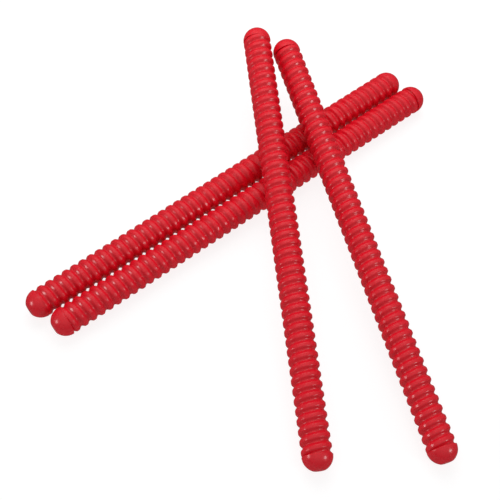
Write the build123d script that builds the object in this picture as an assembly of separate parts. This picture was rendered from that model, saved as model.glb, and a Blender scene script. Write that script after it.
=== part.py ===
from build123d import *
import math
import os

# Four ribbed plastic rhythm sticks in a loose pile. Millimetres and degrees.
# +Z is up and the sticks lie on z = 0. +X runs along the front stick, left to right.

# One stick
stick_length = 305.0            # tip to tip
crest_diameter = 18.8           # over the rib
rib_pitch = 6.15                # the rib is one right-hand helix
groove_depth = 1.45
groove_half_share = 0.40        # half of the groove's width, as a share of a turn
wall_under_groove = 1.6
bore_chamfer = 0.4

# The plugs that close its ends
tip_flat_diameter = 7.8
tip_blend_radius = 0.5
tip_wall = 2.0
spigot_length = 9.0
spigot_wall = 1.3
spigot_clearance = 0.05         # on the radius, inside the bore
spigot_lead = 0.6
spigot_taper = 0.3              # what the lead takes off the radius

# The pile. Places are measured from the middle of the front stick.
side_gap = 0.85                 # between the ribs of the two lower sticks
back_stick_shift = -5.6         # along +X
rest_gap = 0.25                 # between the ribs where one stick crosses another
left_top_crossing = 0.1026      # where its inner side crosses, as a share of a stick's length
left_top_reach = 0.6082         # from there to its floor end, as a share of a stick's length
left_top_heading = -120.65      # the way its floor end points
right_top_crossing = 0.1627
right_top_reach = 0.6990
right_top_heading = -109.8

# How far each stick is rolled about its own axis: where the rib stands at mid-length
front_stick_roll = 162.0
back_stick_roll = 275.0
left_top_roll = 166.0
right_top_roll = 132.0

# The groove's cutter
groove_facets = 3               # flat steps on each side of the groove
cutter_rise = 0.15              # how far it stands above the rib

# Worked out from the sizes above
crest_radius = crest_diameter / 2
bore_radius = crest_radius - groove_depth - wall_under_groove
tip_flat_radius = tip_flat_diameter / 2
dome_reach = math.sqrt(crest_radius**2 - tip_flat_radius**2)
tube_length = stick_length - 2 * dome_reach
crossing_height = crest_diameter + rest_gap


def groove_depth_at(share):
    """Depth at a share, -1 to 1, of the groove's half width from its middle: half a cosine wave."""
    return groove_depth * (1 + math.cos(math.pi * share)) / 2


def groove_cutter():
    """Coil along Z that cuts the groove: one turn after another of ruled faces between helices.

    Every helix starts on the +X side. The groove's outermost steps run on straight to above the
    rib, so that the coil's sides cross the tube's surface.
    """
    half_width = groove_half_share * rib_pitch
    shares = [k / groove_facets for k in range(1 - groove_facets, groove_facets)]
    profile = [(share * half_width, crest_radius - groove_depth_at(share)) for share in shares]
    last_along, last_radius = profile[-1]
    slope = (crest_radius - last_radius) / (half_width - last_along)
    outer = (half_width + cutter_rise / slope, crest_radius + cutter_rise)
    profile = [(-outer[0], outer[1]), *profile, outer]

    # An even number of turns puts the groove on the +X side at mid-length
    turns = 2 * math.ceil(tube_length / rib_pitch / 2 + 0.5)
    faces = []
    for turn in range(turns):
        helices = [
            Pos(0, 0, along + turn * rib_pitch) * Helix(rib_pitch, rib_pitch, radius)
            for along, radius in profile
        ]
        for lower, upper in zip(helices, helices[1:] + helices[:1]):
            faces.append(Face.make_surface_from_curves(lower, upper))
    for height in (0, turns * rib_pitch):
        corners = [(radius, 0, along + height) for along, radius in profile]
        faces.append(Face(Wire.make_polygon(corners, close=True)))
    return Pos(0, 0, -turns * rib_pitch / 2) * Solid(Shell(faces))


def ribbed_tube():
    """Tube along X with a smooth, chamfered bore. At mid-length its rib stands on the +Y side."""
    half = tube_length / 2
    blank_outline = Polyline(
        (-half, bore_radius + bore_chamfer),
        (-half, crest_radius),
        (half, crest_radius),
        (half, bore_radius + bore_chamfer),
        (half - bore_chamfer, bore_radius),
        (-half + bore_chamfer, bore_radius),
        close=True,
    )
    blank = revolve(make_face(blank_outline), Axis.X)
    return blank - Rot(180, 0, 0) * Plane.YZ.location * groove_cutter()


def end_plug():
    """Domed plug facing +X: a flattened dome as wide as the rib, and a hollow spigot with a lead."""
    spigot_radius = bore_radius - spigot_clearance
    hollow_radius = spigot_radius - spigot_wall
    hollow_end = dome_reach - tip_wall
    hollow_start = hollow_end - hollow_radius
    eighth = math.sqrt(0.5)
    outline = [
        Line((dome_reach, 0), (dome_reach, tip_flat_radius)),
        ThreePointArc(
            (dome_reach, tip_flat_radius),
            (crest_radius * math.sin(math.pi / 6), crest_radius * math.cos(math.pi / 6)),
            (0, crest_radius),
        ),
        Polyline(
            (0, crest_radius),
            (0, spigot_radius),
            (-spigot_length + spigot_lead, spigot_radius),
            (-spigot_length, spigot_radius - spigot_taper),
            (-spigot_length, hollow_radius),
            (hollow_start, hollow_radius),
        ),
        ThreePointArc(
            (hollow_start, hollow_radius),
            (hollow_start + hollow_radius * eighth, hollow_radius * eighth),
            (hollow_end, 0),
        ),
        Line((hollow_end, 0), (dome_reach, 0)),
    ]
    plug = revolve(make_face(outline), Axis.X)
    tip_edge = plug.edges().filter_by(GeomType.CIRCLE).sort_by(Axis.X)[-1]
    return fillet(tip_edge, tip_blend_radius)


def stick(name, plug_names, roll, place):
    """One whole stick, rolled about its axis: its tube and its two plugs, in their place."""
    minus_end, plus_end = plug_names
    plug = Pos(tube_length / 2, 0, 0) * end_plug()
    return {
        f"{name}_tube": place * Rot(roll, 0, 0) * tube,
        f"{name}_{minus_end}_plug": place * Rot(0, 0, 180) * plug,
        f"{name}_{plus_end}_plug": place * plug,
    }


def leaning_place(crossing, reach, heading, side):
    """Place of a stick whose +X end lies on the floor and which leans on the front stick.

    The side that faces the other top stick crosses the front stick at its crossing: side is -1
    for the left stick and 1 for the right one, so thicker sticks lie further apart. The leaning
    and the front axis stay one crossing height apart at their nearest points.
    """
    heading_x, heading_y = math.cos(math.radians(heading)), math.sin(math.radians(heading))
    middle_crossing = crossing * stick_length + side * crest_radius / abs(heading_y)
    floor_x = middle_crossing + reach * stick_length * heading_x
    floor_y = reach * stick_length * heading_y
    rise = crossing_height * abs(heading_y)
    lean = math.degrees(math.atan(rise / math.sqrt(floor_y**2 - crossing_height**2)))
    dome_centre = Pos(floor_x, floor_y, crest_radius)
    return dome_centre * Rot(0, 0, heading) * Rot(0, lean, 0) * Pos(-tube_length / 2, 0, 0)


front_place = Pos(0, 0, crest_radius)
back_place = Pos(back_stick_shift, crest_diameter + side_gap, crest_radius)
left_top_place = leaning_place(left_top_crossing, left_top_reach, left_top_heading, -1)
right_top_place = leaning_place(right_top_crossing, right_top_reach, right_top_heading, 1)

tube = ribbed_tube()
pieces = {
    **stick("front_stick", ("left", "right"), front_stick_roll, front_place),
    **stick("back_stick", ("left", "right"), back_stick_roll, back_place),
    **stick("left_top_stick", ("raised", "floor"), left_top_roll, left_top_place),
    **stick("right_top_stick", ("raised", "floor"), right_top_roll, right_top_place),
}

# The origin is on the floor under the middle of the pile
pile = Compound(children=[piece.solid() for piece in pieces.values()]).bounding_box()
to_middle = Pos(-pile.center().X, -pile.center().Y, 0)

os.makedirs("parts", exist_ok=True)
for name, piece in pieces.items():
    export_step(to_middle * piece, f"parts/{name}.step")
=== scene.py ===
import math

import bpy
import numpy as np
from mathutils import Matrix, Vector


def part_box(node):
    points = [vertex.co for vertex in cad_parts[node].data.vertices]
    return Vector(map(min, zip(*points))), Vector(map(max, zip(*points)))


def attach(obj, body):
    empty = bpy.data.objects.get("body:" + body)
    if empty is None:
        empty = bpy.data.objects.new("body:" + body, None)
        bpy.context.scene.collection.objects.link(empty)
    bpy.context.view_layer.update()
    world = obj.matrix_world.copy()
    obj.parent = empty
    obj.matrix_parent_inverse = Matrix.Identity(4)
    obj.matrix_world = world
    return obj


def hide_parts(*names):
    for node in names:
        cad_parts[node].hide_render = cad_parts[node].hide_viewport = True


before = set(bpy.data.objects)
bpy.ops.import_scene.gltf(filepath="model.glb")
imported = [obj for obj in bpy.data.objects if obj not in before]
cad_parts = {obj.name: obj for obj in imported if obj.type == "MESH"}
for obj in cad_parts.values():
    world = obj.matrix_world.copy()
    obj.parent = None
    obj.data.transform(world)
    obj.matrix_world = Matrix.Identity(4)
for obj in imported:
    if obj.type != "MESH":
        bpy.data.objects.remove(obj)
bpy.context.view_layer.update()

# ---------------------------------------------------------------------------------------------
# Ribbed tubes. The real one is an injection-moulded stick of red high-impact polystyrene. Its
# rib is one right-hand helix with a broad round crest and a narrow groove, which a second
# stick is drawn across to make the rasping sound.
# ---------------------------------------------------------------------------------------------

# Sizes in metres
CREST_RADIUS = 0.0094
RIB_PITCH = 0.00615
GROOVE_DEPTH = 0.00145
GROOVE_HALF_SHARE = 0.40        # half of the groove's width, as a share of a turn
BORE_RADIUS = 0.00635
BORE_CHAMFER = 0.0004
TUBE_LENGTH = 0.287894          # between the rims where its two plugs start

# How finely the round surfaces are drawn
ROWS_PER_TURN = 24
COLUMNS = 72

# Each stick: its heading, and its roll, which is where the rib stands at mid-length. Degrees.
STICKS = {
    "front_stick": (0.0, 162.0),
    "back_stick": (0.0, 275.0),
    "left_top_stick": (-120.65, 166.0),
    "right_top_stick": (-109.8, 132.0),
}

# The plugs at each stick's -X and +X ends
PLUG_ENDS = {
    "front_stick": ("left", "right"),
    "back_stick": ("left", "right"),
    "left_top_stick": ("raised", "floor"),
    "right_top_stick": ("raised", "floor"),
}


def stick_place(name, heading):
    """4x4 matrix from a stick's own frame to the pile's.

    Own frame: X along the stick, Z up, origin at mid-length. The middle is that of the box round
    its two CAD plugs. A stick whose middle is higher than one crest radius leans: it drops that
    height in half a tube.
    """
    boxes = np.array([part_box(f"{name}_{end}_plug") for end in PLUG_ENDS[name]])
    middle = (boxes[:, 0].min(axis=0) + boxes[:, 1].max(axis=0)) / 2
    turn = math.radians(heading)
    lean = math.asin(max(middle[2] - CREST_RADIUS, 0.0) / (TUBE_LENGTH / 2))
    along = (math.cos(turn) * math.cos(lean), math.sin(turn) * math.cos(lean), -math.sin(lean))
    left = (-math.sin(turn), math.cos(turn), 0.0)
    place = np.eye(4)
    place[:3, 0], place[:3, 1], place[:3, 2] = along, left, np.cross(along, left)
    place[:3, 3] = middle
    return place


def ring_grid(rows, columns):
    """Quads between neighbouring rows of a grid that closes round its columns."""
    row, column = np.meshgrid(np.arange(rows - 1), np.arange(columns), indexing="ij")
    following = (column + 1) % columns
    corners = (row * columns + column, row * columns + following,
               (row + 1) * columns + following, (row + 1) * columns + column)
    return np.stack(corners, axis=-1).reshape(-1, 4)


def put_mesh(name, points, faces, place, sharp_angle):
    """Mesh object of the points, carried to their place, with creases past the sharp angle."""
    placed = points @ place[:3, :3].T + place[:3, 3]
    mesh = bpy.data.meshes.new(name)
    mesh.from_pydata(placed.tolist(), [], [face.tolist() for face in faces])
    mesh.validate()
    mesh.shade_smooth()
    mesh.set_sharp_from_angle(angle=math.radians(sharp_angle))
    piece = bpy.data.objects.new(name, mesh)
    bpy.context.scene.collection.objects.link(piece)
    return piece


def groove_at(along, angle, roll):
    """Share of the full depth, 0 on the crest to 1 on the groove's floor.

    How far a point is from the groove's middle is counted in turns, and the depth is half a
    cosine wave over the groove's width.
    """
    turns = along / RIB_PITCH - (angle - math.radians(roll + 180.0)) / (2 * math.pi)
    off_middle = turns - np.round(turns)
    share = np.clip(np.abs(off_middle) / GROOVE_HALF_SHARE, 0.0, 1.0)
    return (1 + np.cos(math.pi * share)) / 2


def ribbed_tube(roll):
    """Points, faces and groove share of a tube along X.

    Outside: distance from the axis is the crest radius less the groove's depth, on a grid of
    place along the tube by angle round it. Two flat ends and the straight, chamfered bore close it.
    """
    half = TUBE_LENGTH / 2
    row_count = int(round(TUBE_LENGTH / RIB_PITCH * ROWS_PER_TURN)) + 1
    stations = np.linspace(-half, half, row_count)
    angles = np.arange(COLUMNS) * 2 * math.pi / COLUMNS
    along, angle = np.meshgrid(stations, angles, indexing="ij")
    groove = groove_at(along, angle, roll)
    radius = CREST_RADIUS - GROOVE_DEPTH * groove

    bore = np.array([
        (half, BORE_RADIUS + BORE_CHAMFER),
        (half - BORE_CHAMFER, BORE_RADIUS),
        (-half + BORE_CHAMFER, BORE_RADIUS),
        (-half, BORE_RADIUS + BORE_CHAMFER),
    ])
    along = np.vstack([along, np.repeat(bore[:, :1], COLUMNS, axis=1)])
    radius = np.vstack([radius, np.repeat(bore[:, 1:], COLUMNS, axis=1)])
    groove = np.vstack([groove, np.zeros((len(bore), COLUMNS))])
    angle = np.broadcast_to(angles, along.shape)
    points = np.stack([along, radius * np.cos(angle), radius * np.sin(angle)], axis=-1)

    count = len(along) * COLUMNS
    # One row past the last is the first again, so the outside, the ends and the bore close up
    faces = ring_grid(len(along) + 1, COLUMNS) % count
    return points.reshape(-1, 3), faces, groove.ravel()


def linear(hex_colour):
    """Linear RGBA of an sRGB hex colour."""
    srgb = np.array([int(hex_colour[k:k + 2], 16) for k in (1, 3, 5)]) / 255
    light = np.where(srgb <= 0.04045, srgb / 12.92, ((srgb + 0.055) / 1.055) ** 2.4)
    return (*light.tolist(), 1.0)


def add_node(tree, kind, inputs=None, **settings):
    """A node with its settings; an input is a value, or the socket that feeds it."""
    node = tree.nodes.new(kind)
    for key, value in settings.items():
        setattr(node, key, value)
    for key, value in (inputs or {}).items():
        if isinstance(value, bpy.types.NodeSocket):
            tree.links.new(value, node.inputs[key])
        else:
            node.inputs[key].default_value = value
    return node


# A colour Mix node's sockets, which share their names with its other kinds
COLOUR_A, COLOUR_B, COLOUR_OUT = 6, 7, 2


def moulded_red_polystyrene():
    """High-impact polystyrene, coloured through and moulded in a polished tool.

    Semi-gloss, with a slightly uneven skin, faint flow clouds in the colour, duller and
    glossier patches, and painted shade: a slightly darker colour low in the groove.
    """
    material = bpy.data.materials.new("moulded_red_polystyrene")
    material.use_nodes = True
    tree = material.node_tree
    tree.nodes.clear()
    place = add_node(tree, "ShaderNodeTexCoord").outputs["Object"]

    # Flow clouds, 14 mm across
    clouds = add_node(tree, "ShaderNodeTexNoise",
                      {"Vector": place, "Scale": 1 / 0.014, "Detail": 3.0, "Roughness": 0.55})
    body = add_node(tree, "ShaderNodeMix", {
        "Factor": clouds.outputs["Fac"],
        COLOUR_A: linear("#D40E20"),
        COLOUR_B: linear("#DC1226"),
    }, data_type="RGBA")

    # Painted shade: the groove's floor is coloured a little darker
    groove = add_node(tree, "ShaderNodeAttribute", attribute_name="groove")
    painted_groove_shade = add_node(tree, "ShaderNodeMapRange", {
        "Value": groove.outputs["Fac"], "From Min": 0.35, "From Max": 1.0,
        "To Min": 0.0, "To Max": 0.15,
    })
    coloured = add_node(tree, "ShaderNodeMix", {
        "Factor": painted_groove_shade.outputs["Result"],
        COLOUR_A: body.outputs[COLOUR_OUT],
        COLOUR_B: linear("#B60A1A"),
    }, data_type="RGBA")

    # Duller and glossier patches, 3 mm across
    patches = add_node(tree, "ShaderNodeTexNoise",
                       {"Vector": place, "Scale": 1 / 0.003, "Detail": 4.0, "Roughness": 0.6})
    roughness = add_node(tree, "ShaderNodeMapRange", {
        "Value": patches.outputs["Fac"], "From Min": 0.3, "From Max": 0.7,
        "To Min": 0.20, "To Max": 0.31,
    })

    # Skin ripple of the moulding, 1.1 mm across. The real one is finer, and is drawn coarser
    # than it is so that it shows
    ripple = add_node(tree, "ShaderNodeTexNoise",
                      {"Vector": place, "Scale": 1 / 0.0011, "Detail": 2.0, "Roughness": 0.5})
    skin = add_node(tree, "ShaderNodeBump", {
        "Height": ripple.outputs["Fac"], "Strength": 0.35, "Distance": 0.00006,
    })

    shader = add_node(tree, "ShaderNodeBsdfPrincipled", {
        "Base Color": coloured.outputs[COLOUR_OUT],
        "Roughness": roughness.outputs["Result"],
        "IOR": 1.57,
        "Normal": skin.outputs["Normal"],
    })
    add_node(tree, "ShaderNodeOutputMaterial", {"Surface": shader.outputs["BSDF"]})
    return material


red_polystyrene = moulded_red_polystyrene()
places = {name: stick_place(name, heading) for name, (heading, _) in STICKS.items()}

for name, (_, roll) in STICKS.items():
    points, faces, groove = ribbed_tube(roll)
    tube = put_mesh(f"{name}_ribbed_tube", points, faces, places[name], sharp_angle=50)
    depth = tube.data.attributes.new("groove", "FLOAT", "POINT")
    depth.data.foreach_set("value", groove.astype(np.float32))
    tube.data.materials.append(red_polystyrene)
    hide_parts(f"{name}_tube")
    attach(tube, name)

# ---------------------------------------------------------------------------------------------
# End plugs. Each end of a stick is closed by a smooth dome as wide as the rib, flattened at
# its tip, of the same red polystyrene. Its hollow spigot is pushed into the tube's bore.
# ---------------------------------------------------------------------------------------------

TIP_FLAT_RADIUS = 0.0039
TIP_BLEND_RADIUS = 0.0005
TIP_WALL = 0.002
SPIGOT_LENGTH = 0.009
SPIGOT_WALL = 0.0013
SPIGOT_CLEARANCE = 0.00005
SPIGOT_LEAD = 0.0006
SPIGOT_TAPER = 0.0003
RIM_ROUND = 0.00025             # the moulded rim isn't knife-sharp
DOME_END, RIM_START = 88.0, 95  # degrees where the dome stops and the rim's round starts
FOOT_RING = 0.0002              # a ring this far off the spigot keeps its foot crisp


def arc(centre, radius, start, end, count):
    """Points of an arc in the profile's plane, from one angle to another in degrees."""
    turn = np.radians(np.linspace(start, end, count))
    return np.stack([centre[0] + radius * np.cos(turn), centre[1] + radius * np.sin(turn)], -1)


def plug_profile():
    """Outline from the tip's middle, over the dome, down the spigot and back up its hollow.

    Each point is (place along X, distance from the axis). The dome is a quarter of a circle
    of the crest radius, cut by the tip's flat with a small blend between the two.
    """
    reach = math.sqrt(CREST_RADIUS ** 2 - TIP_FLAT_RADIUS ** 2)
    inner = CREST_RADIUS - TIP_BLEND_RADIUS
    blend_x = reach - TIP_BLEND_RADIUS
    blend_r = math.sqrt(inner ** 2 - blend_x ** 2)
    dome_start = math.degrees(math.atan2(blend_r, blend_x))
    spigot = BORE_RADIUS - SPIGOT_CLEARANCE
    hollow = spigot - SPIGOT_WALL
    hollow_end = reach - TIP_WALL
    flat = np.stack([np.full(5, reach), np.linspace(0, blend_r, 5)], -1)[:-1]
    return np.vstack([
        flat,
        arc((blend_x, blend_r), TIP_BLEND_RADIUS, 0, dome_start, 6)[:-1],
        arc((0, 0), CREST_RADIUS, dome_start, DOME_END, 26),
        arc((RIM_ROUND, CREST_RADIUS - RIM_ROUND), RIM_ROUND, RIM_START, 180, 5),
        [(0, spigot + FOOT_RING), (0, spigot)],
        [(-SPIGOT_LENGTH + SPIGOT_LEAD, spigot), (-SPIGOT_LENGTH, spigot - SPIGOT_TAPER)],
        [(-SPIGOT_LENGTH, hollow), (hollow_end - hollow, hollow)],
        arc((hollow_end - hollow, 0), hollow, 90, 0, 10)[1:],
    ])


def turned_plug(side):
    """Points and faces of a plug: its profile carried round X, with one point at each pole.

    side is 1 for the +X end and -1 for the other, which is the same plug turned half round.
    """
    profile = plug_profile()
    rings = profile[1:-1]
    angle = np.arange(COLUMNS) * 2 * math.pi / COLUMNS
    points = np.stack([
        np.repeat(rings[:, :1], COLUMNS, axis=1),
        rings[:, 1:] * np.cos(angle),
        rings[:, 1:] * np.sin(angle),
    ], axis=-1).reshape(-1, 3)
    points = np.vstack([points, [(profile[0, 0], 0, 0), (profile[-1, 0], 0, 0)]])
    points += (TUBE_LENGTH / 2, 0, 0)
    points *= (side, side, 1)

    column = np.arange(COLUMNS)
    following = (column + 1) % COLUMNS
    last = (len(rings) - 1) * COLUMNS
    tip_pole, hollow_pole = len(points) - 2, len(points) - 1
    tip = np.stack([np.full(COLUMNS, tip_pole), column, following], -1)
    hollow = np.stack([np.full(COLUMNS, hollow_pole), last + following, last + column], -1)
    sides = ring_grid(len(rings), COLUMNS)[:, ::-1]
    return points, [*sides, *tip, *hollow]


for name, ends in PLUG_ENDS.items():
    for side, end in zip((-1, 1), ends):
        points, faces = turned_plug(side)
        plug = put_mesh(f"{name}_{end}_domed_plug", points, faces, places[name], sharp_angle=40)
        plug.data.materials.append(red_polystyrene)
        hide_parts(f"{name}_{end}_plug")
        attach(plug, name)

# ---------------------------------------------------------------------------------------------
# Floor. A wide matt white sheet lit from below, so that the shadows on it stay pale.
# ---------------------------------------------------------------------------------------------

FLOOR_HALF = 4.0
FLOOR_DROP = 0.0001

floor_material = bpy.data.materials.new("white_light_table")
floor_material.use_nodes = True
floor_tree = floor_material.node_tree
floor_tree.nodes.clear()
floor_shader = add_node(floor_tree, "ShaderNodeBsdfPrincipled", {
    "Base Color": linear("#7C7C7C"), "Roughness": 0.9, "Specular IOR Level": 0.0,
    "Emission Color": linear("#FFFFFF"), "Emission Strength": 0.85,
})
add_node(floor_tree, "ShaderNodeOutputMaterial", {"Surface": floor_shader.outputs["BSDF"]})

corners = np.array([(-1, -1), (1, -1), (1, 1), (-1, 1)]) * FLOOR_HALF
floor_points = np.column_stack([corners, np.full(4, -FLOOR_DROP)])
floor = put_mesh("floor", floor_points, [np.arange(4)], np.eye(4), sharp_angle=30)
floor.data.materials.append(floor_material)
floor.visible_glossy = False    # the gloss on the sticks shows the dim room, not the lit sheet

# ---------------------------------------------------------------------------------------------
# Studio light. A broad, near soft box above and behind, a low one to the front right, and a
# low one to the left, in a pale room.
# ---------------------------------------------------------------------------------------------


def soft_box(name, direction, distance, size, power, mirrored=True):
    """Square lamp that stands in the given direction from the pile and faces it.

    One that isn't mirrored lights the sticks, but doesn't show in their gloss.
    """
    lamp = bpy.data.lights.new(name, "AREA")
    lamp.shape, lamp.size, lamp.energy = "SQUARE", size, power
    away = Vector(direction).normalized()
    holder = bpy.data.objects.new(name, lamp)
    holder.location = away * distance
    holder.rotation_euler = away.to_track_quat("Z", "Y").to_euler()
    holder.visible_glossy = mirrored
    bpy.context.scene.collection.objects.link(holder)


soft_box("back_soft_box", (0.20, 0.40, 0.62), distance=0.60, size=0.6, power=2.8, mirrored=False)
soft_box("front_right_soft_box", (0.35, -0.82, 0.46), distance=1.2, size=0.28, power=2.2)
soft_box("left_soft_box", (-0.89, 0.35, 0.28), distance=1.2, size=0.28, power=2.2)

# The room is bright overhead and dim at the horizon
room = bpy.data.worlds.new("studio_room")
room.use_nodes = True
room_tree = room.node_tree
room_tree.nodes.clear()
direction = add_node(room_tree, "ShaderNodeTexCoord").outputs["Generated"]
height = add_node(room_tree, "ShaderNodeSeparateXYZ", {"Vector": direction}).outputs["Z"]
glow = add_node(room_tree, "ShaderNodeMapRange", {
    "Value": height, "From Min": -0.05, "From Max": 1.0, "To Min": 0.12, "To Max": 0.70,
})
backdrop = add_node(room_tree, "ShaderNodeBackground", {"Strength": glow.outputs["Result"]})
add_node(room_tree, "ShaderNodeOutputWorld", {"Surface": backdrop.outputs["Background"]})
bpy.context.scene.world = room

# ---------------------------------------------------------------------------------------------
# Camera. It stands above the front left of the pile and looks down on it.
# ---------------------------------------------------------------------------------------------

CAMERA_AT = (-0.23235, -0.20260, 0.58290)
LOOKS_AT = (-0.01563, 0.03246, 0.0)
CAMERA_ROLL = 5.51              # degrees
SENSOR_WIDTH = 36.0             # millimetres
FOCAL_LENGTH = 72.86            # millimetres

camera = bpy.data.objects.new("camera", bpy.data.cameras.new("camera"))
camera.data.sensor_width = SENSOR_WIDTH
camera.data.lens = FOCAL_LENGTH
camera.data.clip_start, camera.data.clip_end = 0.01, 20.0
camera.location = CAMERA_AT
facing = (Vector(LOOKS_AT) - Vector(CAMERA_AT)).to_track_quat("-Z", "Y").to_matrix()
camera.rotation_euler = (facing @ Matrix.Rotation(math.radians(CAMERA_ROLL), 3, "Z")).to_euler()
bpy.context.scene.collection.objects.link(camera)
bpy.context.scene.camera = camera

bpy.context.scene.view_settings.view_transform = "Standard"
bpy.context.scene.view_settings.look = "None"
